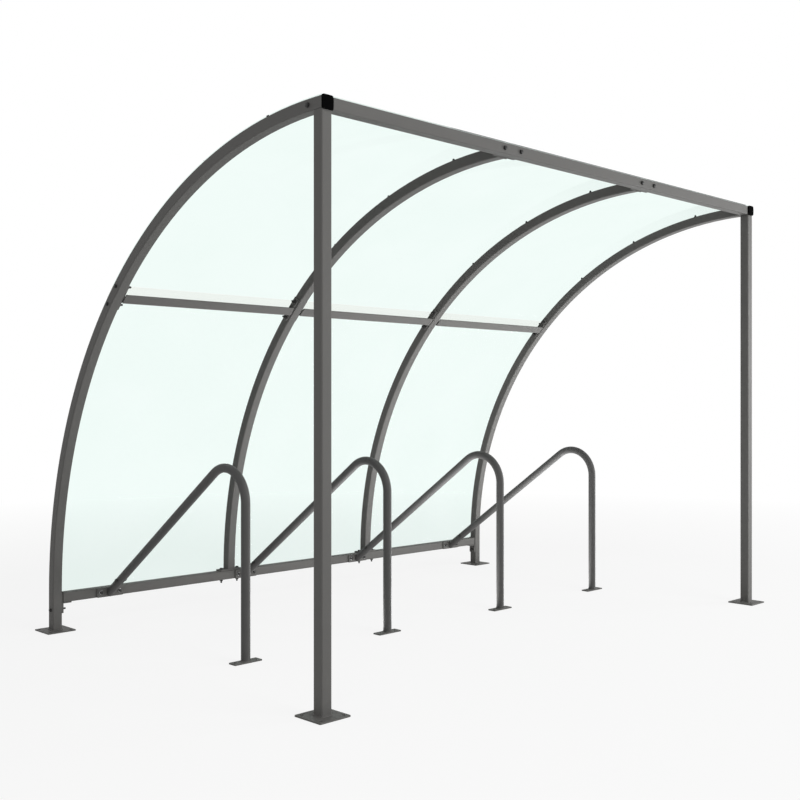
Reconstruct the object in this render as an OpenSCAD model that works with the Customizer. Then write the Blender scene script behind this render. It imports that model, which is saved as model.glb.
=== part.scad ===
// Open bike shelter: square-tube frame with quarter-round arches, clear curved
// sheets on its back and roof, and a row of hoop stands tied to the bottom rail.
// Millimetres. +X runs along the shelter, the open front faces -Y, +Z is up,
// and the origin is on the ground under the middle of the shelter.

/* [Frame] */
// Distance between the axes of neighbouring arches
bay_w = 1075; // [900:5:1300]
// Outer radius of the arches, which is also the depth from post axis to leg axis
arch_r = 2100; // [1800:10:2400]
// Height of the straight leg under the curve of an end arch
leg_h = 200; // [180:5:400]
// Outside width of the square frame tube
tube_w = 50; // [45:1:60]
// Wall of the square frame tube
tube_wall = 3; // [2.5:0.5:5]
// Outer corner radius of the square frame tube
tube_corner = 6; // [5.5:0.5:9]

/* [Base plates] */
// Side of the square plate under a post or an end arch
base_w = 150; // [130:5:220]
// Thickness of the base plates and of the stands' foot plates
base_t = 6; // [4:1:12]
// Corner radius of the base plates
base_corner = 5; // [2:1:10]
// Distance from a base plate's edge to the middle of its anchor hole
base_hole_edge = 20; // [14:1:24]
// Diameter of an anchor hole
anchor_d = 14; // [10:1:18]

/* [Bolted joints] */
// Distance between the two bolts of a flange plate
flange_pitch = 110; // [100:5:120]
// Length of a flange plate past each bolt's axis
flange_edge = 20; // [14:1:30]
// Thickness of the flange plates
flange_t = 8; // [5:1:12]
// Corner radius of the flange plates
flange_corner = 4; // [2:1:8]
// How far the end plates of the beam and the bottom rail stay inside the tube's outline, within its wall
side_trim = 2; // [1.6:0.1:2.4]
// Diameter of the holes for the frame's bolts
bolt_hole_d = 11; // [9:0.5:14]

/* [Bottom rail] */
// Distance from the bottom rail's axis down to the bolt of its end plates
rail_bolt_drop = 60; // [50:1:75]
// Length of the cleat under each end of the bottom rail
cleat_l = 45; // [30:5:80]
// Thickness of the cleats
cleat_t = 6; // [4:1:8]

/* [Middle rails] */
// Angle up the arch at which the middle rails sit
mid_angle = 45; // [35:1:55]
// Thickness of the angle section of a middle rail
angle_t = 5; // [3:0.5:8]
// Width of a middle rail's end plates, which stay back from the arches' inner and outer faces
mid_plate_w = 34; // [28:1:42]
// Clearance between a middle rail's outer edge and the sheets
rail_gap = 0.3; // [0.2:0.1:1]

/* [Clear sheets] */
// Thickness of a clear sheet
sheet_t = 4; // [3:0.5:6]
// How far the lower and upper sheets reach past the middle rail's line, each way
lap = 36; // [28:1:60]
// Gap between neighbouring sheets on an inner arch
sheet_gap = 4; // [2:1:10]
// Distance from the sheets' free edges to the frame's outer faces
sheet_inset = 5; // [2:1:15]
// How far a lower sheet runs down below the arches' curve, ending above the stands' bolts
sheet_drop = 20; // [10:1:22]

/* [Hoop stands] */
// Distance from an end arch's axis to the hoop stand next to it
stand_margin = 292.5; // [200:2.5:350]
// Height of a hoop's top
stand_h = 885; // [700:5:1000]
// Distance from the hoop's upright to the bottom rail's front face
stand_reach = 1200; // [1000:5:1300]
// Outside diameter of the hoop's tube
hoop_d = 42.4; // [38:0.1:48.3]
// Wall of the hoop's tube
hoop_wall = 3; // [2:0.1:4]
// Radius of the hoop's bend, to the middle of the tube
hoop_bend = 155; // [110:5:220]
// How much thinner the tube's wall is on each face in the bend, where it is drawn
bend_draw = 0.1; // [0.05:0.05:0.3]
// Length of the spigot that holds the hoop's low end
spigot_len = 170; // [140:5:240]
// Wall of the spigot
spigot_wall = 4; // [3:0.5:6]
// Clearance between the spigot and the inside of the hoop
spigot_gap = 0.3; // [0.1:0.1:0.6]
// Distance along the hoop from the rail plate to the cross bolt
cross_bolt_at = 125; // [90:5:130]

/* [End caps] */
// How far a cap overhangs the tube's outside
cap_over = 2; // [0.5:0.5:4]
// Thickness of a cap's rim
cap_rim = 5; // [3:0.5:8]
// Rise of a cap's rounded front over its rim
cap_dome = 4; // [2:0.5:8]
// Depth of a cap's plug inside the tube
cap_plug = 22; // [12:1:40]
// Wall of a cap's plug
cap_wall = 3; // [2:0.5:5]
// Clearance between the plug and the inside of the tube
cap_gap = 0.2; // [0.1:0.1:0.5]

/* [Hidden] */
$fn = 96;
steel = "#5b5a58";
steel_light = "#6a6967";
sheet_tint = [0.90, 0.98, 0.96, 0.35];
cap_black = "#161616";

// Lines of the frame
half = tube_w / 2;
end_x = 1.5 * bay_w;
inner_x = 0.5 * bay_w;
post_y = -arch_r / 2;
leg_y = arch_r / 2;
front_y = post_y - half;
back_y = leg_y + half;
arc_y = back_y - arch_r;
axis_r = arch_r - half;
top_z = leg_h + arch_r;
beam_z = top_z - half;
rail_top = leg_h - flange_t;
rail_z = rail_top - half;
rail_front = leg_y - half;
flange_l = flange_pitch + 2 * flange_edge;
anchor_pitch = base_w - 2 * base_hole_edge;
clear_x = end_x - half;
bolt_side = flange_pitch / 2;

// Lap of the sheets: the upper ones are set back so that they ride over the
// lower ones at the middle rail and still touch the frame along the beam
lap_angle = lap * 180 / (PI * arch_r);
lap_back = sheet_t / cos(mid_angle + lap_angle);

// Stands: one near each end arch, the others spread evenly between them
stand_count = 4;
stand_pitch = 2 * (end_x - stand_margin) / (stand_count - 1);
stand_x = [for (i = [0 : stand_count - 1]) stand_margin - end_x + i * stand_pitch];
hoop_y = rail_front - stand_reach;
bracket_y = rail_front - flange_t;
bend_y = hoop_y + hoop_bend;
bend_z = stand_h - hoop_d / 2 - hoop_bend;
run_y = bracket_y - bend_y;
run_z = rail_z - bend_z;
slope = asin(hoop_bend / norm([run_y, run_z])) - atan2(run_z, run_y);
run_len = (run_y - hoop_bend * sin(slope)) / cos(slope);
spigot_d = hoop_d - 2 * hoop_wall - 2 * spigot_gap;

module rounded_square(w, r) {
    square([w - 2 * r, w], center = true);
    square([w, w - 2 * r], center = true);
    for (x = [-1, 1], y = [-1, 1])
        translate([x * (w / 2 - r), y * (w / 2 - r)])
            circle(r);
}

module rounded_bar(l, w, r) {
    square([l - 2 * r, w], center = true);
    square([l, w - 2 * r], center = true);
    for (x = [-1, 1], y = [-1, 1])
        translate([x * (l / 2 - r), y * (w / 2 - r)])
            circle(r);
}

module tube_profile() {
    difference() {
        rounded_square(tube_w, tube_corner);
        rounded_square(tube_w - 2 * tube_wall, tube_corner - tube_wall);
    }
}

// Straight square tube from z = 0 upwards
module square_tube(l) {
    linear_extrude(l)
        tube_profile();
}

// Straight square tube along X, centred
module tube_along_x(l) {
    translate([-l / 2, 0, 0])
        rotate([90, 0, 90])
            square_tube(l);
}

// Turns a shape drawn with X, Y, Z as back, up and along into the frame
module in_side_view() {
    rotate([90, 0, 90])
        children();
}

// Quarter of square tube about the arches' centre
module quarter_tube() {
    translate([0, arc_y, leg_h])
        in_side_view()
            rotate_extrude(angle = 90)
                translate([axis_r, 0])
                    tube_profile();
}

// Places children on the arch's axis at an angle, with X along the shelter,
// Y pointing outwards and Z pointing up along the curve
module on_arch(angle) {
    translate([0, arc_y + axis_r * cos(angle), leg_h + axis_r * sin(angle)])
        rotate([angle, 0, 0])
            children();
}

module bolt_pair_holes(l) {
    for (s = [-1, 1])
        translate([s * bolt_side, 0, -l / 2])
            cylinder(h = l, d = bolt_hole_d);
}

// Flange plate lying flat from z = 0 upwards, with its two bolts along X
module flange_plate(w = tube_w) {
    difference() {
        linear_extrude(flange_t)
            rounded_bar(flange_l, w, flange_corner);
        bolt_pair_holes(4 * flange_t);
    }
}

// Bolts along X, one above and one below the local origin
module side_bolt_holes() {
    rotate([0, 90, 0])
        bolt_pair_holes(4 * tube_w);
}

// Plate on the side of an arch, its face at x = 0, lying towards +X
module side_flange() {
    rotate([0, 90, 0])
        flange_plate(mid_plate_w);
}

module base_plate(x, y) {
    color(steel)
        translate([x, y, 0])
            linear_extrude(base_t)
                difference() {
                    rounded_square(base_w, base_corner);
                    for (i = [-1, 1], j = [-1, 1])
                        translate([i * anchor_pitch / 2, j * anchor_pitch / 2])
                            circle(d = anchor_d);
                }
}

module front_post(x) {
    color(steel)
        translate([x, post_y, base_t])
            square_tube(top_z - tube_w - base_t);
}

// Bolt of the beam's end plate, behind the post
module beam_end_bolt() {
    translate([0, post_y + bolt_side, beam_z])
        rotate([0, 90, 0])
            cylinder(h = 4 * tube_w, d = bolt_hole_d, center = true);
}

// Bolt of the bottom rail's end plate, under the rail
module rail_end_bolt() {
    translate([0, 0, -rail_bolt_drop])
        rotate([0, 90, 0])
            cylinder(h = 4 * tube_w, d = bolt_hole_d, center = true);
}

module end_arch(x) {
    color(steel)
        translate([x, 0, 0])
            difference() {
                union() {
                    translate([0, leg_y, base_t])
                        square_tube(leg_h - base_t);
                    quarter_tube();
                    translate([0, front_y, beam_z])
                        rotate([-90, 0, 0])
                            square_tube(arc_y - front_y);
                }
                translate([0, leg_y, rail_z])
                    rail_end_bolt();
                on_arch(mid_angle)
                    side_bolt_holes();
                beam_end_bolt();
            }
}

module inner_arch(x) {
    color(steel)
        translate([x, 0, 0])
            difference() {
                quarter_tube();
                translate([-tube_w, arc_y - tube_w + flange_t, top_z - 2 * tube_w])
                    cube([2 * tube_w, tube_w, 3 * tube_w]);
                on_arch(mid_angle)
                    side_bolt_holes();
            }
}

module foot_flange(x) {
    color(steel)
        translate([x, leg_y, rail_top])
            flange_plate();
}

module head_flange(x) {
    color(steel)
        translate([x, arc_y + flange_t, beam_z])
            rotate([90, 0, 0])
                flange_plate();
}

// End plate of the front beam, its face at x = 0, lying towards +X
module beam_end_plate() {
    plate_from = front_y + side_trim;
    plate_to = post_y + bolt_side + flange_edge;
    difference() {
        translate([0, (plate_from + plate_to) / 2, beam_z])
            rotate([90, 0, 90])
                linear_extrude(flange_t)
                    rounded_bar(plate_to - plate_from, tube_w - 2 * side_trim, flange_corner);
        beam_end_bolt();
    }
}

module front_beam() {
    color(steel_light)
        difference() {
            union() {
                translate([0, post_y, beam_z])
                    tube_along_x(2 * (clear_x - flange_t));
                translate([-clear_x, 0, 0])
                    beam_end_plate();
                mirror([1, 0, 0])
                    translate([-clear_x, 0, 0])
                        beam_end_plate();
            }
            for (x = [-inner_x, inner_x])
                translate([x, post_y, beam_z])
                    rotate([90, 0, 0])
                        bolt_pair_holes(4 * tube_w);
        }
}

// End plate of the bottom rail with the cleat under the rail, its face at x = 0, lying towards +X
module rail_end() {
    plate_from = -rail_bolt_drop - flange_edge;
    plate_to = half - side_trim;
    cleat_w = tube_w - 4 * side_trim;
    difference() {
        translate([0, 0, (plate_from + plate_to) / 2])
            rotate([0, 90, 0])
                linear_extrude(flange_t)
                    rounded_bar(plate_to - plate_from, tube_w - 2 * side_trim, flange_corner);
        rail_end_bolt();
    }
    translate([flange_t / 2, -cleat_w / 2, -half - cleat_t])
        cube([flange_t / 2 + cleat_l, cleat_w, cleat_t + tube_wall / 2]);
}

module bottom_rail() {
    color(steel)
        difference() {
            union() {
                translate([0, leg_y, rail_z])
                    tube_along_x(2 * (clear_x - flange_t));
                translate([-clear_x, leg_y, rail_z])
                    rail_end();
                mirror([1, 0, 0])
                    translate([-clear_x, leg_y, rail_z])
                        rail_end();
            }
            for (x = [-inner_x, inner_x])
                translate([x, leg_y, rail_z])
                    bolt_pair_holes(4 * tube_w);
            for (x = stand_x)
                translate([x, leg_y, rail_z])
                    rotate([90, 0, 0])
                        bolt_pair_holes(4 * tube_w);
        }
}

// Angle section between two arches with a flange plate at each end
module mid_rail(x) {
    rail_l = bay_w - tube_w - 2 * flange_t;
    color(steel_light)
        translate([x, 0, 0])
            on_arch(mid_angle) {
                translate([-rail_l / 2, -half, -half])
                    cube([rail_l, angle_t, tube_w]);
                translate([-rail_l / 2, -half, -half])
                    cube([rail_l, tube_w - rail_gap, angle_t]);
                translate([-rail_l / 2 - flange_t, 0, 0])
                    side_flange();
                translate([rail_l / 2, 0, 0])
                    side_flange();
            }
}

// Rounded plug-in cap on the front end of an end arch
module end_cap(x) {
    cap_w = tube_w + 2 * cap_over;
    corner = norm([cap_w / 2, cap_w / 2]);
    dome_r = (pow(corner, 2) + pow(cap_dome, 2)) / (2 * cap_dome);
    plug_w = tube_w - 2 * tube_wall - 2 * cap_gap;
    plug_corner = max(tube_corner - tube_wall - cap_gap, 0.5);
    color(cap_black)
        translate([x, front_y, beam_z])
            rotate([90, 0, 0]) {
                intersection() {
                    linear_extrude(cap_rim + cap_dome)
                        rounded_square(cap_w, tube_corner + cap_over);
                    translate([0, 0, cap_rim + cap_dome - dome_r])
                        sphere(dome_r);
                }
                translate([0, 0, -cap_plug])
                    linear_extrude(cap_plug)
                        difference() {
                            rounded_square(plug_w, plug_corner);
                            rounded_square(plug_w - 2 * cap_wall, 1);
                        }
            }
}

// Ends of a bay's sheets along X: free at the end arches, gapped at the inner ones
function bay_from(bay) = bay == -1 ? -clear_x - tube_w + sheet_inset : (bay - 0.5) * bay_w + sheet_gap / 2;
function bay_to(bay) = bay == 1 ? clear_x + tube_w - sheet_inset : (bay + 0.5) * bay_w - sheet_gap / 2;

// Width of a bay's sheets
function sheet_w(bay) = bay_to(bay) - bay_from(bay);

// Curved band of sheet that starts at the local X axis and turns towards Y
module sheet_band(bay, angle) {
    rotate_extrude(angle = angle)
        translate([arch_r, 0])
            square([sheet_t, sheet_w(bay)]);
}

// Curve up from the legs to past the middle rail, with a straight edge below
module lower_sheet(bay) {
    color(sheet_tint) {
        translate([bay_from(bay), arc_y, leg_h])
            in_side_view()
                sheet_band(bay, mid_angle + lap_angle);
        translate([bay_from(bay), back_y, leg_h - sheet_drop])
            cube([sheet_w(bay), sheet_t, sheet_drop]);
    }
}

// Curve down from the beam to past the middle rail, with a flat edge in front
module upper_sheet(bay) {
    flat_l = arc_y + lap_back - front_y - sheet_inset;
    color(sheet_tint)
        translate([0, lap_back, 0]) {
            translate([bay_from(bay), arc_y, leg_h])
                in_side_view()
                    rotate([0, 0, 90])
                        mirror([0, 1, 0])
                            sheet_band(bay, 90 - mid_angle + lap_angle);
            translate([bay_from(bay), arc_y, top_z])
                mirror([0, 1, 0])
                    cube([sheet_w(bay), flat_l, sheet_t]);
        }
}

// Section of the hoop's tube, drawn in by a little on both faces in the bend
module hoop_profile(draw = 0) {
    difference() {
        circle(d = hoop_d - 2 * draw);
        circle(d = hoop_d - 2 * hoop_wall + 2 * draw);
    }
}

// Bend between the upright and the sloping run, cut out of a full ring by the
// planes that the two straight stretches start from
module hoop_corner() {
    reach = 2 * hoop_bend;
    in_side_view()
        difference() {
            rotate_extrude()
                translate([hoop_bend, 0])
                    hoop_profile(bend_draw);
            translate([-reach, -reach, -hoop_d])
                cube([2 * reach, reach, 2 * hoop_d]);
            rotate([0, 0, -slope])
                translate([0, -reach, -hoop_d])
                    cube([reach, 2 * reach, 2 * hoop_d]);
        }
}

// Straight run down to the rail, before its low end is cut to the rail plate
module hoop_run() {
    translate([0, bend_y, bend_z])
        in_side_view()
            rotate([0, 0, -slope])
                translate([0, hoop_bend, 0])
                    rotate([0, 90, 0])
                        linear_extrude(run_len + hoop_d)
                            hoop_profile();
}

// Places children at the middle of the rail plate's front, Z up along the hoop
module at_hoop_end() {
    translate([0, bracket_y, rail_z])
        rotate([90 - slope, 0, 0])
            children();
}

module cross_bolt_hole() {
    at_hoop_end()
        translate([0, 0, cross_bolt_at])
            rotate([0, 90, 0])
                cylinder(h = 4 * hoop_d, d = bolt_hole_d, center = true);
}

// Space behind the rail plate's front
module past_rail_plate() {
    translate([-hoop_d, bracket_y, -hoop_d])
        cube([2 * hoop_d, 4 * hoop_d, stand_h]);
}

module hoop(x) {
    color(steel) {
        translate([x, hoop_y, base_t])
            linear_extrude(bend_z - base_t)
                hoop_profile();
        translate([x, bend_y, bend_z])
            hoop_corner();
        translate([x, 0, 0])
            difference() {
                hoop_run();
                past_rail_plate();
                cross_bolt_hole();
            }
    }
}

module foot_plate(x) {
    color(steel)
        translate([x, hoop_y, 0])
            linear_extrude(base_t)
                difference() {
                    rounded_bar(flange_l, tube_w, flange_corner);
                    for (s = [-1, 1])
                        translate([s * bolt_side, 0])
                            circle(d = anchor_d);
                }
}

// Flange plate on the bottom rail with the spigot that the hoop slides over
module rail_bracket(x) {
    color(steel)
        translate([x, 0, 0]) {
            translate([0, rail_front, rail_z])
                rotate([90, 0, 0])
                    flange_plate();
            difference() {
                at_hoop_end()
                    translate([0, 0, -hoop_d])
                        cylinder(h = spigot_len + hoop_d, d = spigot_d);
                at_hoop_end()
                    translate([0, 0, -2 * hoop_d])
                        cylinder(h = spigot_len + 4 * hoop_d, d = spigot_d - 2 * spigot_wall);
                past_rail_plate();
                cross_bolt_hole();
            }
        }
}

front_post(-end_x);  // left_front_post
front_post(end_x);  // right_front_post
end_arch(-end_x);  // left_end_arch
end_arch(end_x);  // right_end_arch
inner_arch(-inner_x);  // left_inner_arch
inner_arch(inner_x);  // right_inner_arch
front_beam();
bottom_rail();
mid_rail(-bay_w);  // left_mid_rail
mid_rail(0);  // center_mid_rail
mid_rail(bay_w);  // right_mid_rail
base_plate(-end_x, post_y);  // left_post_plate
base_plate(end_x, post_y);  // right_post_plate
base_plate(-end_x, leg_y);  // left_arch_plate
base_plate(end_x, leg_y);  // right_arch_plate
end_cap(-end_x);  // left_end_cap
end_cap(end_x);  // right_end_cap
foot_flange(-inner_x);  // left_foot_flange
foot_flange(inner_x);  // right_foot_flange
head_flange(-inner_x);  // left_head_flange
head_flange(inner_x);  // right_head_flange
lower_sheet(-1);  // left_lower_sheet
lower_sheet(0);  // center_lower_sheet
lower_sheet(1);  // right_lower_sheet
upper_sheet(-1);  // left_upper_sheet
upper_sheet(0);  // center_upper_sheet
upper_sheet(1);  // right_upper_sheet
hoop(stand_x[0]);  // far_left_hoop
hoop(stand_x[1]);  // mid_left_hoop
hoop(stand_x[2]);  // mid_right_hoop
hoop(stand_x[3]);  // far_right_hoop
foot_plate(stand_x[0]);  // far_left_foot_plate
foot_plate(stand_x[1]);  // mid_left_foot_plate
foot_plate(stand_x[2]);  // mid_right_foot_plate
foot_plate(stand_x[3]);  // far_right_foot_plate
rail_bracket(stand_x[0]);  // far_left_rail_bracket
rail_bracket(stand_x[1]);  // mid_left_rail_bracket
rail_bracket(stand_x[2]);  // mid_right_rail_bracket
rail_bracket(stand_x[3]);  // far_right_rail_bracket
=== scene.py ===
import math
import bmesh
import bpy
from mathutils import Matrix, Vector
from mathutils.bvhtree import BVHTree


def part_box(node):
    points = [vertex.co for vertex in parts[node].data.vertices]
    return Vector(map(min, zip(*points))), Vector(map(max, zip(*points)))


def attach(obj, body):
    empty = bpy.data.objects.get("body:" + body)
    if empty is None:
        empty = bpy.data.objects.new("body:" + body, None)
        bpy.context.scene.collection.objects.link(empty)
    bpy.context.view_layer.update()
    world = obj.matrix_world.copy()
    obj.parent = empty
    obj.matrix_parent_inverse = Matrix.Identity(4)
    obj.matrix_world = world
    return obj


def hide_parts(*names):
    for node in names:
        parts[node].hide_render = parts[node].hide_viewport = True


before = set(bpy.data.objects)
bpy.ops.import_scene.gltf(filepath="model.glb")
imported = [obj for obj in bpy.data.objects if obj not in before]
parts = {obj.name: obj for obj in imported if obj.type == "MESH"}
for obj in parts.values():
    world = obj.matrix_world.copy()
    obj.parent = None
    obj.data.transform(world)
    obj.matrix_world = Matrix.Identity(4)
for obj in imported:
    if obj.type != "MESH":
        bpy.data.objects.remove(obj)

scene = bpy.context.scene
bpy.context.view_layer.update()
print("frame loaded:", len(parts), "nodes")


# main lines of the shelter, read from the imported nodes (metres)
def middleOf(node):
    low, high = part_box(node)
    return (low + high) / 2


innerLow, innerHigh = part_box("left_inner_arch")
archR = innerHigh.z - innerLow.z            # outer radius of the arches
arcY = innerHigh.y - archR                  # centre line of the arcs
arcZ = innerLow.z
postLow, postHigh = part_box("left_front_post")
tube = postHigh.x - postLow.x               # square tube, outside
endX = middleOf("right_end_arch").x
innerX = middleOf("right_inner_arch").x
beamLow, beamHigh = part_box("front_beam")
beamZ = (beamLow.z + beamHigh.z) / 2
railLow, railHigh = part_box("bottom_rail")
railZ = railHigh.z - tube / 2
railY = (railLow.y + railHigh.y) / 2
standNames = ["far_left", "mid_left", "mid_right", "far_right"]
standX = [middleOf(name + "_hoop").x for name in standNames]
archX = [-endX, -innerX, innerX, endX]


# small helpers for node trees
def addNode(tree, kind, values=None, **settings):
    node = tree.nodes.new(kind)
    for name, value in settings.items():
        setattr(node, name, value)
    for name, value in (values or {}).items():
        socket = node.inputs[name]
        if isinstance(value, bpy.types.NodeSocket):
            tree.links.new(value, socket)
        else:
            socket.default_value = value
    return node


def calc(tree, operation, *values):
    return addNode(tree, "ShaderNodeMath", dict(enumerate(values)), operation=operation).outputs[0]


def remap(tree, value, fromLow, fromHigh, toLow, toHigh):
    node = addNode(tree, "ShaderNodeMapRange", {
        "Value": value, "From Min": fromLow, "From Max": fromHigh, "To Min": toLow, "To Max": toHigh})
    return node.outputs["Result"]


def mixColour(tree, factor, first, second):
    node = addNode(tree, "ShaderNodeMix", {0: factor, 6: first, 7: second}, data_type="RGBA")
    return node.outputs[2]


def newTree(name, kind, inputs, outputs):
    tree = bpy.data.node_groups.new(name, kind)
    for label, socketKind in outputs:
        tree.interface.new_socket(label, in_out="OUTPUT", socket_type=socketKind)
    for label, socketKind, default in inputs:
        socket = tree.interface.new_socket(label, in_out="INPUT", socket_type=socketKind)
        if default is not None:
            socket.default_value = default
    given = tree.nodes.new("NodeGroupInput").outputs
    return tree, given, tree.nodes.new("NodeGroupOutput")


def noiseOf(tree, size, detail=2.0, roughness=0.5):
    place = addNode(tree, "ShaderNodeTexCoord").outputs["Object"]
    scale = calc(tree, "DIVIDE", 1.0, size)
    return addNode(tree, "ShaderNodeTexNoise", {
        "Vector": place, "Scale": scale, "Detail": detail, "Roughness": roughness}).outputs["Fac"]


# shared surface effects, each with its own settings
grainSet = {"cloudSize": 0.21, "cloudDetail": 5.0, "cloudRough": 0.6, "grainDetail": 1.5,
            "grainRough": 0.55, "cloudShare": 0.7, "grainShare": 0.3, "noiseLow": 0.3, "noiseHigh": 0.7}
dustSet = {"lyingFrom": 0.55, "splash": 0.7, "patchSize": 0.09, "patchDetail": 7.0, "patchRough": 0.65,
           "patchLow": 0.38, "patchHigh": 0.68}
edgeSet = {"samples": 4, "flatCosine": 0.985, "edgeCosine": 0.86, "wearSize": 0.035, "wearDetail": 6.0,
           "wearRough": 0.7, "wearLow": 0.45, "wearHigh": 0.7, "leastWear": 0.15}


def makePowderGrain():
    tree, given, out = newTree("powderGrain", "ShaderNodeTree", [
        ("Colour", "NodeSocketColor", (0.1, 0.1, 0.1, 1)),
        ("Tone Spread", "NodeSocketFloat", 0.05),
        ("Grain Size", "NodeSocketFloat", 0.002),
        ("Gloss Rough", "NodeSocketFloat", 0.35),
        ("Matt Rough", "NodeSocketFloat", 0.45),
    ], [("Colour", "NodeSocketColor"), ("Roughness", "NodeSocketFloat"), ("Height", "NodeSocketFloat")])
    cloud = noiseOf(tree, grainSet["cloudSize"], grainSet["cloudDetail"], grainSet["cloudRough"])
    grain = noiseOf(tree, given["Grain Size"], grainSet["grainDetail"], grainSet["grainRough"])
    low = calc(tree, "SUBTRACT", 1.0, given["Tone Spread"])
    high = calc(tree, "ADD", 1.0, given["Tone Spread"])
    both = calc(tree, "ADD", calc(tree, "MULTIPLY", cloud, grainSet["cloudShare"]),
                calc(tree, "MULTIPLY", grain, grainSet["grainShare"]))
    tone = addNode(tree, "ShaderNodeHueSaturation", {
        "Color": given["Colour"],
        "Value": remap(tree, both, grainSet["noiseLow"], grainSet["noiseHigh"], low, high)})
    tree.links.new(tone.outputs["Color"], out.inputs["Colour"])
    rough = remap(tree, cloud, grainSet["noiseLow"], grainSet["noiseHigh"],
                  given["Gloss Rough"], given["Matt Rough"])
    tree.links.new(rough, out.inputs["Roughness"])
    tree.links.new(grain, out.inputs["Height"])
    return tree


def makeSettledDust():
    tree, given, out = newTree("settledDust", "ShaderNodeTree", [
        ("Reach", "NodeSocketFloat", 0.3),
        ("Amount", "NodeSocketFloat", 0.3),
    ], [("Mask", "NodeSocketFloat")])
    normal = addNode(tree, "ShaderNodeNewGeometry").outputs["Normal"]
    upward = addNode(tree, "ShaderNodeSeparateXYZ", {0: normal}).outputs["Z"]
    place = addNode(tree, "ShaderNodeTexCoord").outputs["Object"]
    height = addNode(tree, "ShaderNodeSeparateXYZ", {0: place}).outputs["Z"]
    lying = remap(tree, upward, dustSet["lyingFrom"], 1.0, 0.0, 1.0)
    splash = remap(tree, height, 0.0, given["Reach"], dustSet["splash"], 0.0)
    blotch = noiseOf(tree, dustSet["patchSize"], dustSet["patchDetail"], dustSet["patchRough"])
    patch = remap(tree, blotch, dustSet["patchLow"], dustSet["patchHigh"], 0.0, 1.0)
    mask = calc(tree, "MULTIPLY", calc(tree, "MAXIMUM", lying, splash), patch)
    tree.links.new(calc(tree, "MULTIPLY", mask, given["Amount"]), out.inputs["Mask"])
    return tree


def makeRubbedEdge():
    tree, given, out = newTree("rubbedEdge", "ShaderNodeTree", [
        ("Width", "NodeSocketFloat", 0.0015),
        ("Amount", "NodeSocketFloat", 0.5),
    ], [("Mask", "NodeSocketFloat"), ("Normal", "NodeSocketVector")])
    bevel = addNode(tree, "ShaderNodeBevel", {"Radius": given["Width"]}, samples=edgeSet["samples"])
    rounded = bevel.outputs[0]
    flat = addNode(tree, "ShaderNodeNewGeometry").outputs["Normal"]
    compare = addNode(tree, "ShaderNodeVectorMath", {0: rounded, 1: flat}, operation="DOT_PRODUCT")
    edge = remap(tree, compare.outputs["Value"], edgeSet["flatCosine"], edgeSet["edgeCosine"], 0.0, 1.0)
    rubs = noiseOf(tree, edgeSet["wearSize"], edgeSet["wearDetail"], edgeSet["wearRough"])
    worn = remap(tree, rubs, edgeSet["wearLow"], edgeSet["wearHigh"], edgeSet["leastWear"], 1.0)
    mask = calc(tree, "MULTIPLY", calc(tree, "MULTIPLY", edge, worn), given["Amount"])
    tree.links.new(mask, out.inputs["Mask"])
    tree.links.new(rounded, out.inputs["Normal"])
    return tree


powderGrain = makePowderGrain()
settledDust = makeSettledDust()
rubbedEdge = makeRubbedEdge()


# coatings: one dictionary for each finish
def makeCoat(name, look):
    material = bpy.data.materials.new(name)
    material.use_nodes = True
    tree = material.node_tree
    tree.nodes.clear()
    grain = addNode(tree, "ShaderNodeGroup", {
        "Colour": (*look["colour"], 1), "Tone Spread": look["toneSpread"], "Grain Size": look["grainSize"],
        "Gloss Rough": look["rough"][0], "Matt Rough": look["rough"][1]}, node_tree=powderGrain)
    dust = addNode(tree, "ShaderNodeGroup", {
        "Reach": look["dustReach"], "Amount": look["dustAmount"]}, node_tree=settledDust)
    edge = addNode(tree, "ShaderNodeGroup", {
        "Width": look["edgeWidth"], "Amount": look["edgeAmount"]}, node_tree=rubbedEdge)
    rubbed = mixColour(tree, edge.outputs["Mask"], grain.outputs["Colour"], (*look["edgeColour"], 1))
    dusty = mixColour(tree, dust.outputs["Mask"], rubbed, (*look["dustColour"], 1))
    dulled = calc(tree, "MULTIPLY", dust.outputs["Mask"], look["dustRough"])
    rough = calc(tree, "ADD", grain.outputs["Roughness"], dulled)
    bump = addNode(tree, "ShaderNodeBump", {
        "Strength": look["peel"], "Distance": look["peelDepth"],
        "Height": grain.outputs["Height"], "Normal": edge.outputs["Normal"]})
    shader = addNode(tree, "ShaderNodeBsdfPrincipled", {
        "Base Color": dusty, "Roughness": rough, "Metallic": look["metal"], "IOR": look["ior"],
        "Normal": bump.outputs["Normal"]})
    addNode(tree, "ShaderNodeOutputMaterial", {"Surface": shader.outputs[0]})
    return material


frameCoatLook = {
    "colour": (0.104, 0.102, 0.098), "toneSpread": 0.06, "grainSize": 0.0022, "rough": (0.50, 0.58),
    "peel": 0.12, "peelDepth": 0.0004, "edgeWidth": 0.0012, "edgeAmount": 0.25,
    "edgeColour": (0.17, 0.17, 0.165), "dustReach": 0.35, "dustAmount": 0.16,
    "dustColour": (0.24, 0.23, 0.21), "dustRough": 0.3, "metal": 0.0, "ior": 1.28,
}
hoopCoatLook = dict(frameCoatLook, colour=(0.064, 0.063, 0.062), rough=(0.50, 0.60), ior=1.36,
                    dustAmount=0.10)
boltCoatLook = dict(frameCoatLook, colour=(0.026, 0.026, 0.026), rough=(0.32, 0.46), toneSpread=0.15,
                    grainSize=0.0011, edgeColour=(0.16, 0.155, 0.15), edgeWidth=0.0004, edgeAmount=0.4)
zincCoatLook = dict(frameCoatLook, colour=(0.62, 0.63, 0.64), rough=(0.28, 0.46), toneSpread=0.12,
                    grainSize=0.004, edgeColour=(0.75, 0.75, 0.75), edgeWidth=0.0003, metal=1.0,
                    dustAmount=0.1)
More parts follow.
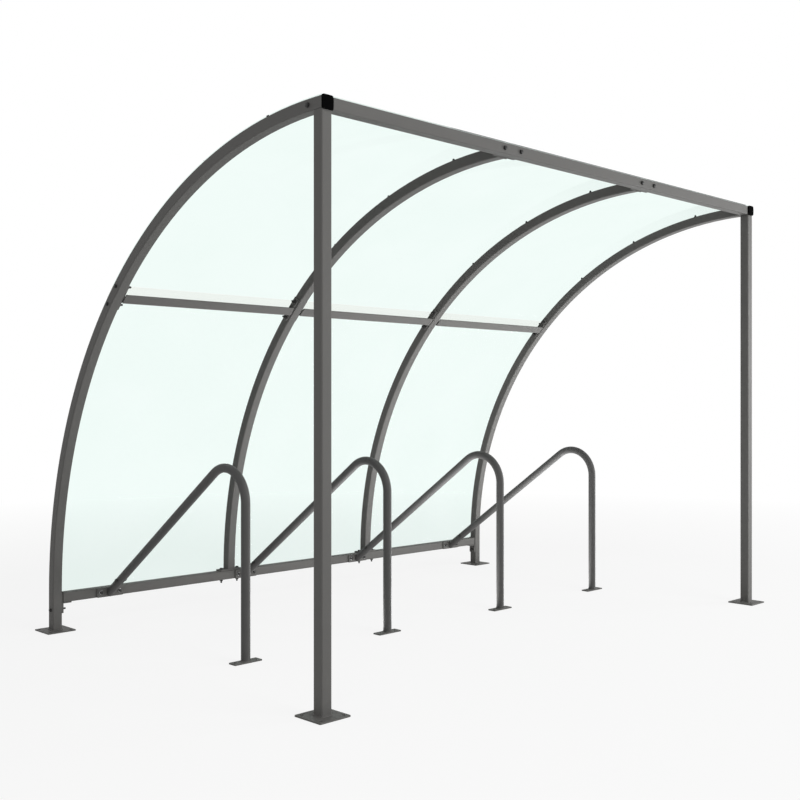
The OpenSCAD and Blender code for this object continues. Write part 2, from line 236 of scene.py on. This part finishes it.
capPlasticLook = dict(frameCoatLook, colour=(0.0022, 0.0022, 0.0023), rough=(0.6, 0.72), toneSpread=0.1,
                      grainSize=0.0009, peel=0.2, edgeColour=(0.012, 0.012, 0.013), edgeWidth=0.0008,
                      dustAmount=0.01, ior=1.04)
frameCoat = makeCoat("frameCoat", frameCoatLook)
hoopCoat = makeCoat("hoopCoat", hoopCoatLook)
boltCoat = makeCoat("boltCoat", boltCoatLook)
zincCoat = makeCoat("zincCoat", zincCoatLook)
capPlastic = makeCoat("capPlastic", capPlasticLook)

sheetLook = {
    "tint": (0.893, 0.982, 0.952), "edgeTint": (0.875, 0.970, 0.936), "cloudSize": 0.45, "cloudDetail": 3.0,
    "cloudLow": 0.35, "cloudHigh": 0.65, "rough": (0.01, 0.06), "ior": 1.03, "dustReach": 0.55,
    "dustAmount": 0.5, "dustFull": 0.5, "wave": 0.03, "waveSize": 0.3, "waveDepth": 0.004,
    "shade": (0.95, 0.97, 0.96), "lapTint": (0.925, 0.952, 0.930), "lapSoft": 0.004,
}
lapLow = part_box("left_upper_sheet")[0].z      # the sheets lap between these heights
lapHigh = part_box("left_lower_sheet")[1].z


def makeClearSheet(name, look):
    material = bpy.data.materials.new(name)
    material.use_nodes = True
    tree = material.node_tree
    tree.nodes.clear()
    dust = addNode(tree, "ShaderNodeGroup", {
        "Reach": look["dustReach"], "Amount": look["dustAmount"]}, node_tree=settledDust)
    haze = noiseOf(tree, look["cloudSize"], look["cloudDetail"])
    cloud = remap(tree, haze, look["cloudLow"], look["cloudHigh"], 0.0, 1.0)
    tint = mixColour(tree, cloud, (*look["tint"], 1), (*look["edgeTint"], 1))
    place = addNode(tree, "ShaderNodeTexCoord").outputs["Object"]
    height = addNode(tree, "ShaderNodeSeparateXYZ", {0: place}).outputs["Z"]
    above = remap(tree, height, lapLow - look["lapSoft"], lapLow, 0.0, 1.0)
    below = remap(tree, height, lapHigh, lapHigh + look["lapSoft"], 1.0, 0.0)
    # painted shade: in the band where the sheets lap, the tint turns greyer than the sheet's own colour;
    # the doubled sheet there is real, the greyer tone is painted shade
    tint = mixColour(tree, calc(tree, "MULTIPLY", above, below), tint, (*look["lapTint"], 1))
    rough = remap(tree, dust.outputs["Mask"], 0.0, look["dustFull"], look["rough"][0], look["rough"][1])
    bump = addNode(tree, "ShaderNodeBump", {
        "Strength": look["wave"], "Distance": look["waveDepth"],
        "Height": noiseOf(tree, look["waveSize"], 1.0)})
    clear = addNode(tree, "ShaderNodeBsdfPrincipled", {
        "Base Color": tint, "Roughness": rough, "IOR": look["ior"], "Transmission Weight": 1.0,
        "Normal": bump.outputs["Normal"]})
    passing = addNode(tree, "ShaderNodeBsdfTransparent", {"Color": (*look["shade"], 1)})
    path = addNode(tree, "ShaderNodeLightPath").outputs
    lets = calc(tree, "MAXIMUM", path["Is Shadow Ray"], path["Is Diffuse Ray"])
    both = addNode(tree, "ShaderNodeMixShader", {0: lets, 1: clear.outputs[0], 2: passing.outputs[0]})
    addNode(tree, "ShaderNodeOutputMaterial", {"Surface": both.outputs[0]})
    return material


clearSheet = makeClearSheet("clearSheet", sheetLook)


def finishFor(name):
    if name.endswith("_sheet"):
        return clearSheet
    if name.endswith("_cap"):
        return capPlastic
    if name.endswith("_hoop"):
        return hoopCoat
    return frameCoat


for name, part in parts.items():
    part.data.materials.clear()
    part.data.materials.append(finishFor(name))
print("finishes set on", len(parts), "nodes")

# sheets lie on a thin sealing bed, so their inner faces stay just clear of the arches and of each other
sheetBed = {"thickness": 0.0012, "innerFacing": -0.8, "weld": 0.00001, "sharp": 30}


def outwardAt(place):
    return Vector((0, max(place.y - arcY, 0.0), max(place.z - arcZ, 0.0))).normalized()


def beddedSheet(node):
    words = node.split("_")
    name = words[0] + "".join(word.title() for word in words[1:])
    source = parts[node].data
    mesh = bpy.data.meshes.new(name)
    mesh.from_pydata([v.co for v in source.vertices], [], [tuple(p.vertices) for p in source.polygons])
    form = bmesh.new()
    form.from_mesh(mesh)
    bmesh.ops.remove_doubles(form, verts=form.verts, dist=sheetBed["weld"])
    form.normal_update()
    inner = set()
    for face in form.faces:
        if face.normal.dot(outwardAt(face.calc_center_median())) < sheetBed["innerFacing"]:
            inner.update(face.verts)
    for corner in inner:
        corner.co += outwardAt(corner.co) * sheetBed["thickness"]
    form.to_mesh(mesh)
    form.free()
    mesh.shade_smooth()
    mesh.set_sharp_from_angle(angle=math.radians(sheetBed["sharp"]))
    mesh.materials.append(clearSheet)
    sheet = bpy.data.objects.new(name, mesh)
    scene.collection.objects.link(sheet)
    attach(sheet, "root")
    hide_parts(node)
    print(name, len(mesh.polygons), "faces,", len(inner), "corners bedded")


for node in [name for name in parts if name.endswith("_sheet")]:
    beddedSheet(node)


# pieces made by geometry nodes: points or paths in, plain mesh out
def pointPiece(name, places):
    mesh = bpy.data.meshes.new(name)
    mesh.from_pydata([tuple(place) for place, facing in places], [], [])
    facings = mesh.attributes.new("facing", "FLOAT_VECTOR", "POINT")
    for index, (place, facing) in enumerate(places):
        facings.data[index].vector = facing
    piece = bpy.data.objects.new(name, mesh)
    scene.collection.objects.link(piece)
    return piece


def pathPiece(name, paths):
    corners, edges = [], []
    for path, closed in paths:
        first = len(corners)
        count = len(path)
        corners += [tuple(point) for point in path]
        edges += [(first + i, first + (i + 1) % count) for i in range(count if closed else count - 1)]
    mesh = bpy.data.meshes.new(name)
    mesh.from_pydata(corners, edges, [])
    piece = bpy.data.objects.new(name, mesh)
    scene.collection.objects.link(piece)
    return piece


def keepUsedFinishes(mesh):
    indices = [face.material_index for face in mesh.polygons]
    used = sorted(set(indices))
    finishes = [mesh.materials[index] for index in used]
    mesh.materials.clear()
    for finish in finishes:
        mesh.materials.append(finish)
    mesh.polygons.foreach_set("material_index", [used.index(index) for index in indices])


def bakePiece(piece, tree, values, sharpAngle=32):
    modifier = piece.modifiers.new(tree.name, "NODES")
    modifier.node_group = tree
    for item in tree.interface.items_tree:
        if item.in_out == "INPUT" and item.name in values:
            modifier[item.identifier] = values[item.name]
    depsgraph = bpy.context.evaluated_depsgraph_get()
    mesh = bpy.data.meshes.new_from_object(piece.evaluated_get(depsgraph), depsgraph=depsgraph)
    piece.modifiers.remove(modifier)
    for extra in ("facing", "isWasher"):
        if extra in mesh.attributes:
            mesh.attributes.remove(mesh.attributes[extra])
    keepUsedFinishes(mesh)
    mesh.shade_smooth()
    mesh.set_sharp_from_angle(angle=math.radians(sharpAngle))
    mesh.name = piece.name
    piece.data = mesh
    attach(piece, "root")
    print(piece.name, len(mesh.polygons), "faces", [m.name for m in mesh.materials])


sixthTurn = math.pi / 3


def placeOnPoints(tree, given, shape):
    facing = addNode(tree, "GeometryNodeInputNamedAttribute", {"Name": "facing"}, data_type="FLOAT_VECTOR")
    spin = addNode(tree, "FunctionNodeRandomValue", {"Seed": given["Seed"]}, data_type="FLOAT")
    spin.inputs[2].default_value = 0.0
    spin.inputs[3].default_value = sixthTurn
    twist = addNode(tree, "ShaderNodeCombineXYZ", {"Z": spin.outputs[1]}).outputs[0]
    turned = addNode(tree, "FunctionNodeEulerToRotation", {"Euler": twist}).outputs[0]
    aimed = addNode(tree, "FunctionNodeAlignRotationToVector", {
        "Rotation": turned, "Vector": facing.outputs[0]}, axis="Z").outputs[0]
    placed = addNode(tree, "GeometryNodeInstanceOnPoints", {
        "Points": given["Geometry"], "Instance": shape, "Rotation": aimed}).outputs[0]
    return addNode(tree, "GeometryNodeRealizeInstances", {"Geometry": placed}).outputs[0]


def setCoat(tree, shape, coat):
    return addNode(tree, "GeometryNodeSetMaterial", {"Geometry": shape, "Material": coat}).outputs[0]


def shift(tree, shape, height, rotation=(0, 0, 0)):
    lift = addNode(tree, "ShaderNodeCombineXYZ", {"Z": height}).outputs[0]
    return addNode(tree, "GeometryNodeTransform", {
        "Geometry": shape, "Translation": lift, "Rotation": rotation}).outputs[0]


def roundBar(tree, sides, radius, depth, centre):
    bar = addNode(tree, "GeometryNodeMeshCylinder", {"Vertices": sides, "Radius": radius, "Depth": depth})
    return shift(tree, bar.outputs["Mesh"], centre)


# hex bolt with washers, nut and thread end; the seat of its head washer is at Z 0
hexSet = {"chamferTop": 0.47, "chamferSlope": 1.75, "chamferSides": 30, "chamferDrop": -0.00012,
          "shankSides": 16, "threadRings": 16, "threadOverlap": 0.001, "threadRoot": -0.13,
          "threadCrest": -0.01, "washerSides": 24}


def makeHexBolt():
    tree, given, out = newTree("hexBolt", "GeometryNodeTree", [
        ("Geometry", "NodeSocketGeometry", None),
        ("Flats", "NodeSocketFloat", 0.016),
        ("Head Height", "NodeSocketFloat", 0.0064),
        ("Washer Radius", "NodeSocketFloat", 0.010),
        ("Washer Height", "NodeSocketFloat", 0.002),
        ("Shank Radius", "NodeSocketFloat", 0.005),
        ("Grip", "NodeSocketFloat", 0.058),
        ("Nut Height", "NodeSocketFloat", 0.008),
        ("Thread End", "NodeSocketFloat", 0.004),
        ("Thread Pitch", "NodeSocketFloat", 0.0015),
        ("Seed", "NodeSocketInt", 1),
        ("Coat", "NodeSocketMaterial", None),
        ("Washer Coat", "NodeSocketMaterial", None),
    ], [("Geometry", "NodeSocketGeometry")])
    hexR = calc(tree, "DIVIDE", given["Flats"], math.sqrt(3))
    headH = given["Head Height"]
    washerH = given["Washer Height"]
    nutH = given["Nut Height"]

    def hexBlock(height):
        prism = roundBar(tree, 6, hexR, height, calc(tree, "MULTIPLY", height, 0.5))
        topR = calc(tree, "MULTIPLY", given["Flats"], hexSet["chamferTop"])
        widening = calc(tree, "MULTIPLY", height, hexSet["chamferSlope"])
        cone = addNode(tree, "GeometryNodeMeshCone", {
            "Vertices": hexSet["chamferSides"], "Radius Top": topR, "Depth": height,
            "Radius Bottom": calc(tree, "ADD", topR, widening)})
        cut = addNode(tree, "GeometryNodeMeshBoolean", operation="INTERSECT", solver="EXACT")
        tree.links.new(prism, cut.inputs["Mesh 2"])
        tree.links.new(shift(tree, cone.outputs["Mesh"], hexSet["chamferDrop"]), cut.inputs["Mesh 2"])
        return cut.outputs["Mesh"]

    head = shift(tree, hexBlock(headH), washerH)
    nutSeat = calc(tree, "MULTIPLY", calc(tree, "ADD", given["Grip"], washerH), -1.0)
    nut = shift(tree, hexBlock(nutH), nutSeat, (math.pi, 0, 0))
    nutEnd = calc(tree, "SUBTRACT", nutSeat, nutH)
    shankLength = calc(tree, "SUBTRACT", washerH, nutEnd)
    shank = roundBar(tree, hexSet["shankSides"], given["Shank Radius"], shankLength,
                     calc(tree, "SUBTRACT", washerH, calc(tree, "MULTIPLY", shankLength, 0.5)))
    threadLength = calc(tree, "ADD", given["Thread End"], hexSet["threadOverlap"])
    threadBar = addNode(tree, "GeometryNodeMeshCylinder", {
        "Vertices": hexSet["shankSides"], "Side Segments": hexSet["threadRings"],
        "Radius": given["Shank Radius"], "Depth": threadLength}).outputs["Mesh"]
    spot = addNode(tree, "GeometryNodeInputPosition").outputs[0]
    axes = addNode(tree, "ShaderNodeSeparateXYZ", {0: spot}).outputs
    turn = calc(tree, "ARCTAN2", axes["Y"], axes["X"])
    climb = calc(tree, "DIVIDE", calc(tree, "MULTIPLY", axes["Z"], math.tau), given["Thread Pitch"])
    wave = calc(tree, "SINE", calc(tree, "ADD", turn, climb))
    squeeze = remap(tree, wave, -1.0, 1.0, hexSet["threadRoot"], hexSet["threadCrest"])
    outward = addNode(tree, "ShaderNodeCombineXYZ", {"X": axes["X"], "Y": axes["Y"]}).outputs[0]
    inset = addNode(tree, "ShaderNodeVectorMath", {0: outward, "Scale": squeeze}, operation="SCALE")
    thread = addNode(tree, "GeometryNodeSetPosition", {
        "Geometry": threadBar, "Offset": inset.outputs[0]}).outputs[0]
    threadTop = calc(tree, "ADD", nutEnd, hexSet["threadOverlap"])
    halfThread = calc(tree, "MULTIPLY", threadLength, 0.5)
    thread = shift(tree, thread, calc(tree, "SUBTRACT", threadTop, halfThread))
    discs = addNode(tree, "GeometryNodeJoinGeometry")
    halfWasher = calc(tree, "MULTIPLY", washerH, 0.5)
    for centre in (halfWasher, calc(tree, "ADD", nutSeat, halfWasher)):
        disc = roundBar(tree, hexSet["washerSides"], given["Washer Radius"], washerH, centre)
        tree.links.new(disc, discs.inputs[0])
    marked = addNode(tree, "GeometryNodeStoreNamedAttribute", {
        "Geometry": discs.outputs[0], "Name": "isWasher"}, data_type="BOOLEAN", domain="FACE")
    marked.inputs["Value"].default_value = True
    whole = addNode(tree, "GeometryNodeJoinGeometry")
    for shape in (head, nut, shank, thread, marked.outputs[0]):
        tree.links.new(shape, whole.inputs[0])
    placed = placeOnPoints(tree, given, whole.outputs[0])
    coated = setCoat(tree, placed, given["Coat"])
    isWasher = addNode(tree, "GeometryNodeInputNamedAttribute", {"Name": "isWasher"}, data_type="BOOLEAN")
    done = addNode(tree, "GeometryNodeSetMaterial", {
        "Geometry": coated, "Selection": isWasher.outputs[0], "Material": given["Washer Coat"]}).outputs[0]
    tree.links.new(done, out.inputs["Geometry"])
    return tree


# dome cap on a sealing washer, seated at Z 0
domeSet = {"skirtSides": 28, "skirtTop": 0.84, "segments": 24, "rings": 14}


def makeDomeFixing():
    tree, given, out = newTree("domeFixing", "GeometryNodeTree", [
        ("Geometry", "NodeSocketGeometry", None),
        ("Washer Radius", "NodeSocketFloat", 0.0095),
        ("Washer Height", "NodeSocketFloat", 0.002),
        ("Dome Radius", "NodeSocketFloat", 0.0065),
        ("Dome Height", "NodeSocketFloat", 0.010),
        ("Seed", "NodeSocketInt", 1),
        ("Coat", "NodeSocketMaterial", None),
    ], [("Geometry", "NodeSocketGeometry")])
    skirt = addNode(tree, "GeometryNodeMeshCone", {
        "Vertices": domeSet["skirtSides"],
        "Radius Top": calc(tree, "MULTIPLY", given["Washer Radius"], domeSet["skirtTop"]),
        "Radius Bottom": given["Washer Radius"], "Depth": given["Washer Height"]}).outputs["Mesh"]
    ball = addNode(tree, "GeometryNodeMeshUVSphere", {
        "Segments": domeSet["segments"], "Rings": domeSet["rings"],
        "Radius": given["Dome Radius"]}).outputs["Mesh"]
    spot = addNode(tree, "GeometryNodeInputPosition").outputs[0]
    axes = addNode(tree, "ShaderNodeSeparateXYZ", {0: spot}).outputs
    stretch = calc(tree, "DIVIDE", given["Dome Height"], given["Dome Radius"])
    upper = calc(tree, "MULTIPLY", calc(tree, "MAXIMUM", axes["Z"], 0.0), stretch)
    flatBase = addNode(tree, "ShaderNodeCombineXYZ", {"X": axes["X"], "Y": axes["Y"], "Z": upper})
    dome = addNode(tree, "GeometryNodeSetPosition", {
        "Geometry": ball, "Position": flatBase.outputs[0]}).outputs[0]
    whole = addNode(tree, "GeometryNodeJoinGeometry")
    tree.links.new(skirt, whole.inputs[0])
    tree.links.new(shift(tree, dome, given["Washer Height"]), whole.inputs[0])
    placed = placeOnPoints(tree, given, whole.outputs[0])
    tree.links.new(setCoat(tree, placed, given["Coat"]), out.inputs["Geometry"])
    return tree


# rippled weld bead along paths
beadSet = {"sides": 8, "driftLow": 0.94, "driftHigh": 1.06}


def makeWeldBead():
    tree, given, out = newTree("weldBead", "GeometryNodeTree", [
        ("Geometry", "NodeSocketGeometry", None),
        ("Bead Radius", "NodeSocketFloat", 0.0035),
        ("Ripple", "NodeSocketFloat", 0.12),
        ("Ripple Pitch", "NodeSocketFloat", 0.006),
        ("Step", "NodeSocketFloat", 0.002),
        ("Seed", "NodeSocketInt", 1),
        ("Coat", "NodeSocketMaterial", None),
    ], [("Geometry", "NodeSocketGeometry")])
    line = addNode(tree, "GeometryNodeMeshToCurve", {"Mesh": given["Geometry"]}).outputs[0]
    fine = addNode(tree, "GeometryNodeResampleCurve", {"Curve": line}, mode="LENGTH")
    tree.links.new(given["Step"], fine.inputs["Length"])
    along = addNode(tree, "GeometryNodeSplineParameter").outputs["Length"]
    turns = calc(tree, "DIVIDE", calc(tree, "MULTIPLY", along, math.tau), given["Ripple Pitch"])
    ring = calc(tree, "MULTIPLY", calc(tree, "SINE", turns), given["Ripple"])
    drift = addNode(tree, "FunctionNodeRandomValue", {"Seed": given["Seed"]}, data_type="FLOAT")
    drift.inputs[2].default_value = beadSet["driftLow"]
    drift.inputs[3].default_value = beadSet["driftHigh"]
    size = calc(tree, "MULTIPLY", calc(tree, "ADD", ring, drift.outputs[1]), given["Bead Radius"])
    section = addNode(tree, "GeometryNodeCurvePrimitiveCircle", {
        "Resolution": beadSet["sides"], "Radius": 1.0}).outputs["Curve"]
    bead = addNode(tree, "GeometryNodeCurveToMesh", {
        "Curve": fine.outputs[0], "Profile Curve": section, "Scale": size, "Fill Caps": True}).outputs[0]
    plain = addNode(tree, "GeometryNodeRealizeInstances", {"Geometry": bead}).outputs[0]
    tree.links.new(setCoat(tree, plain, given["Coat"]), out.inputs["Geometry"])
    return tree


hexBolt = makeHexBolt()
domeFixing = makeDomeFixing()
weldBead = makeWeldBead()

# bolts of the frame: pitch is the distance between a plate's two holes, plate the flange thickness
boltSet = {"pitch": 0.110, "plate": 0.008, "railDrop": 0.060, "crossBack": 0.1101, "crossZ": 0.2391,
           "hoopTube": 0.0424, "beamEndBack": 0.080, "longEnd": 0.011, "footEnd": 0.010,
           "smallFlats": 0.0145, "smallWasher": 0.009, "seed": 7}
halfPitch = boltSet["pitch"] / 2
half = tube / 2
axisR = archR - half
towardX = Vector((1, 0, 0))
towardY = Vector((0, 1, 0))
towardZ = Vector((0, 0, 1))


def boltFamily(name, places, grip, washerCoat=None, **sizes):
    piece = pointPiece(name, places)
    values = dict(sizes)
    values.update({"Grip": grip, "Coat": boltCoat, "Washer Coat": washerCoat or boltCoat,
                   "Seed": boltSet["seed"] + len(places)})
    bakePiece(piece, hexBolt, values)


def fromOutside(y, z):
    return [(Vector((side * (endX + half), y, z)), side * towardX) for side in (-1, 1)]


diagonal = math.sqrt(0.5)
midSpots = [(arcY + (axisR - side * halfPitch) * diagonal, arcZ + (axisR + side * halfPitch) * diagonal)
            for side in (-1, 1)]
longEnd = {"Thread End": boltSet["longEnd"], "Flats": boltSet["smallFlats"],
           "Washer Radius": boltSet["smallWasher"]}
endMidPlaces = [place for y, z in midSpots for place in fromOutside(y, z)]
boltFamily("midRailEndBolts", endMidPlaces, tube + boltSet["plate"], **longEnd)
innerMidPlaces = [(Vector((x + half + boltSet["plate"], y, z)), towardX)
                  for x in (-innerX, innerX) for y, z in midSpots]
boltFamily("midRailInnerBolts", innerMidPlaces, tube + 2 * boltSet["plate"], **longEnd)
railEndPlaces = fromOutside(railY, railZ - boltSet["railDrop"])
boltFamily("railEndBolts", railEndPlaces, tube + boltSet["plate"], **longEnd)
beamEndPlaces = fromOutside(beamLow.y + boltSet["beamEndBack"], beamZ)
boltFamily("beamEndBolts", beamEndPlaces, tube + boltSet["plate"])
flangeX = [x + side * halfPitch for x in (-innerX, innerX) for side in (-1, 1)]
beamPlaces = [(Vector((x, beamLow.y, beamZ)), -towardY) for x in flangeX]
boltFamily("beamBolts", beamPlaces, tube + boltSet["plate"])
footPlaces = [(Vector((x, railY, arcZ)), towardZ) for x in flangeX]
boltFamily("footBolts", footPlaces, tube + boltSet["plate"], **{"Thread End": boltSet["footEnd"]})
bracketX = [x + side * halfPitch for x in standX for side in (-1, 1)]
bracketPlaces = [(Vector((x, railLow.y - boltSet["plate"], railZ)), -towardY) for x in bracketX]
boltFamily("bracketBolts", bracketPlaces, tube + boltSet["plate"], zincCoat)
crossY = railLow.y - boltSet["crossBack"]
crossPlaces = [(Vector((x - boltSet["hoopTube"] / 2, crossY, boltSet["crossZ"])), -towardX) for x in standX]
boltFamily("crossBolts", crossPlaces, boltSet["hoopTube"])

# dome fixings that hold the sheets on the arches
fixingSet = {"angles": (81.7, 69.5, 57.4, 45.2, 33.1, 20.9, 8.0), "sideReach": 0.008, "rayFrom": 0.2,
             "sharp": 40, "seed": 3}


def sheetTree():
    corners, faces = [], []
    for name, part in parts.items():
        if name.endswith("_sheet"):
            first = len(corners)
            corners += [v.co.copy() for v in part.data.vertices]
            faces += [tuple(first + i for i in p.vertices) for p in part.data.polygons]
    return BVHTree.FromPolygons(corners, faces)


def fixingPlaces():
    sheets = sheetTree()
    rayR = archR + fixingSet["rayFrom"]
    places = []
    for x in archX:
        for angle in fixingSet["angles"]:
            outward = Vector((0, math.cos(math.radians(angle)), math.sin(math.radians(angle))))
            heights = []
            for side in (-1, 1):
                start = Vector((x + side * fixingSet["sideReach"], arcY, arcZ)) + outward * rayR
                hit = sheets.ray_cast(start, -outward)
                if hit[0] is not None:
                    heights.append(rayR - hit[3])
            places.append((Vector((x, arcY, arcZ)) + outward * max(heights + [archR]), outward))
    return places


bakePiece(pointPiece("sheetFixings", fixingPlaces()), domeFixing,
          {"Coat": capPlastic, "Seed": fixingSet["seed"]}, fixingSet["sharp"])

# welds round the tube ends; where a sheet lies on the tube, that side has no bead
weldSet = {"corner": 0.006, "cornerSteps": 4, "bead": 0.0034, "out": 0.0006, "hoopR": 0.0212,
           "hoopSteps": 32, "sheetClear": 0.0028, "sharp": 60, "seed": 11}


def squareLoop(centre, along, across):
    corner = weldSet["corner"]
    reach = half - corner + weldSet["out"]
    loop = []
    for quarter, (signX, signY) in enumerate(((1, 1), (-1, 1), (-1, -1), (1, -1))):
        for step in range(weldSet["cornerSteps"] + 1):
            angle = math.radians(90 * quarter + 90 / weldSet["cornerSteps"] * step)
            alongBy = signX * reach + corner * math.cos(angle)
            acrossBy = signY * reach + corner * math.sin(angle)
            loop.append(centre + along * alongBy + across * acrossBy)
    return loop


def roundLoop(centre, radius):
    steps = weldSet["hoopSteps"]
    return [centre + Vector((math.cos(a), math.sin(a), 0)) * radius
            for a in (math.tau * i / steps for i in range(steps))]


def topOf(node):
    middle = middleOf(node)
    return Vector((middle.x, middle.y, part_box(node)[1].z))


def openToward(loop, centre, sheetSide):
    reach = half - weldSet["sheetClear"]
    free = [(point - centre).dot(sheetSide) < reach for point in loop]
    start = next(i for i in range(len(loop)) if free[i] and not free[i - 1])
    turned = loop[start:] + loop[:start]
    return turned[:sum(free)]


def weldPaths():
    paths = []
    for side in ("left", "right"):
        for plate in ("_post_plate", "_arch_plate"):
            paths.append((squareLoop(topOf(side + plate), towardX, towardY), True))
        x = middleOf(side + "_inner_arch").x
        foot = Vector((x, railY, arcZ))
        paths.append((openToward(squareLoop(foot, towardX, towardY), foot, towardY), False))
        head = Vector((x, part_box(side + "_head_flange")[1].y, beamZ))
        paths.append((openToward(squareLoop(head, towardX, towardZ), head, towardZ), False))
    for name in standNames:
        seat = topOf(name + "_foot_plate")
        paths.append((roundLoop(seat, weldSet["hoopR"] + weldSet["out"]), True))
    railEnd = endX - half - boltSet["plate"]
    for side in (-1, 1):
        end = Vector((side * railEnd, railY, railZ))
        paths.append((openToward(squareLoop(end, towardY, towardZ), end, towardY), False))
    return paths


bakePiece(pathPiece("weldBeads", weldPaths()), weldBead,
          {"Bead Radius": weldSet["bead"], "Coat": frameCoat, "Seed": weldSet["seed"]},
          weldSet["sharp"])

# camera, at the photograph's viewing angle
cameraSet = {"place": (-4.199, -4.092, 1.170), "turn": -44.498, "lens": 48.31, "sensor": 36,
             "shift": 0.0016, "clip": 400}
camera = bpy.data.objects.new("camera", bpy.data.cameras.new("camera"))
camera.data.sensor_width = cameraSet["sensor"]
camera.data.lens = cameraSet["lens"]
camera.data.shift_y = cameraSet["shift"]
camera.data.clip_end = cameraSet["clip"]
camera.location = cameraSet["place"]
camera.rotation_euler = (math.pi / 2, 0, math.radians(cameraSet["turn"]))
scene.collection.objects.link(camera)
scene.camera = camera

# studio: pale floor, white surround, soft lamps
studioSet = {"surround": 0.36, "floorSize": 160.0, "floorGap": 0.0008, "floorColour": (0.86, 0.86, 0.855),
             "lift": 0.84, "fadeFrom": 3.0, "fadeTo": 8.0}
lampSet = {
    "keyLamp": {"place": (0.5, -7.0, 6.0), "aim": (0.0, -0.2, 1.0), "size": (4.5, 4.5), "power": 250},
    "sideLamp": {"place": (6.5, -5.0, 1.4), "aim": (0.9, -0.2, 1.3), "size": (3.4, 2.8), "power": 345},
    "fillLamp": {"place": (-5.5, -4.5, 1.8), "aim": (-1.6, -0.8, 1.3), "size": (2.4, 2.4), "power": 62},
    "floorCard": {"place": (1.9, 0.10, 0.012), "aim": (1.9, 0.10, 1.0), "size": (5.0, 0.45), "power": 56,
                  "diffuse": 0.0},
}


plainWhite = (1, 1, 1, 1)


def seenRay(tree):
    path = addNode(tree, "ShaderNodeLightPath").outputs
    shown = calc(tree, "MAXIMUM", path["Is Camera Ray"], path["Is Glossy Ray"])
    return calc(tree, "MAXIMUM", shown, path["Is Transmission Ray"])


def makeWorld():
    world = bpy.data.worlds.new("studio")
    world.use_nodes = True
    tree = world.node_tree
    tree.nodes.clear()
    light = addNode(tree, "ShaderNodeBackground", {"Color": plainWhite, "Strength": studioSet["surround"]})
    white = addNode(tree, "ShaderNodeBackground", {"Color": plainWhite, "Strength": 1.0})
    both = addNode(tree, "ShaderNodeMixShader", {
        0: seenRay(tree), 1: light.outputs[0], 2: white.outputs[0]})
    addNode(tree, "ShaderNodeOutputWorld", {"Surface": both.outputs[0]})
    scene.world = world


def makeFloor():
    size = studioSet["floorSize"] / 2
    mesh = bpy.data.meshes.new("floor")
    corners = [(-size, -size, 0), (size, -size, 0), (size, size, 0), (-size, size, 0)]
    mesh.from_pydata(corners, [], [(0, 1, 2, 3)])
    floor = bpy.data.objects.new("floor", mesh)
    floor.location.z = -studioSet["floorGap"]
    scene.collection.objects.link(floor)
    material = bpy.data.materials.new("studioFloor")
    material.use_nodes = True
    tree = material.node_tree
    tree.nodes.clear()
    place = addNode(tree, "ShaderNodeTexCoord").outputs["Object"]
    away = addNode(tree, "ShaderNodeVectorMath", {0: place}, operation="LENGTH").outputs["Value"]
    fade = remap(tree, away, studioSet["fadeFrom"], studioSet["fadeTo"], studioSet["lift"], 1.0)
    paint = addNode(tree, "ShaderNodeBsdfDiffuse", {"Color": (*studioSet["floorColour"], 1)})
    glow = addNode(tree, "ShaderNodeEmission", {"Color": plainWhite, "Strength": 1.0})
    factor = calc(tree, "MULTIPLY", fade, seenRay(tree))
    both = addNode(tree, "ShaderNodeMixShader", {0: factor, 1: paint.outputs[0], 2: glow.outputs[0]})
    addNode(tree, "ShaderNodeOutputMaterial", {"Surface": both.outputs[0]})
    mesh.materials.append(material)


def makeLamp(name, values):
    lamp = bpy.data.lights.new(name, "AREA")
    lamp.shape = "RECTANGLE"
    lamp.size, lamp.size_y = values["size"]
    lamp.energy = values["power"]
    lamp.diffuse_factor = values.get("diffuse", 1.0)
    holder = bpy.data.objects.new(name, lamp)
    holder.location = values["place"]
    aim = Vector(values["aim"]) - Vector(values["place"])
    holder.rotation_euler = aim.to_track_quat("-Z", "Y").to_euler()
    holder.visible_camera = False
    holder.visible_transmission = False
    scene.collection.objects.link(holder)


makeWorld()
makeFloor()
for name, values in lampSet.items():
    makeLamp(name, values)
scene.view_settings.view_transform = "Standard"
print("studio ready")
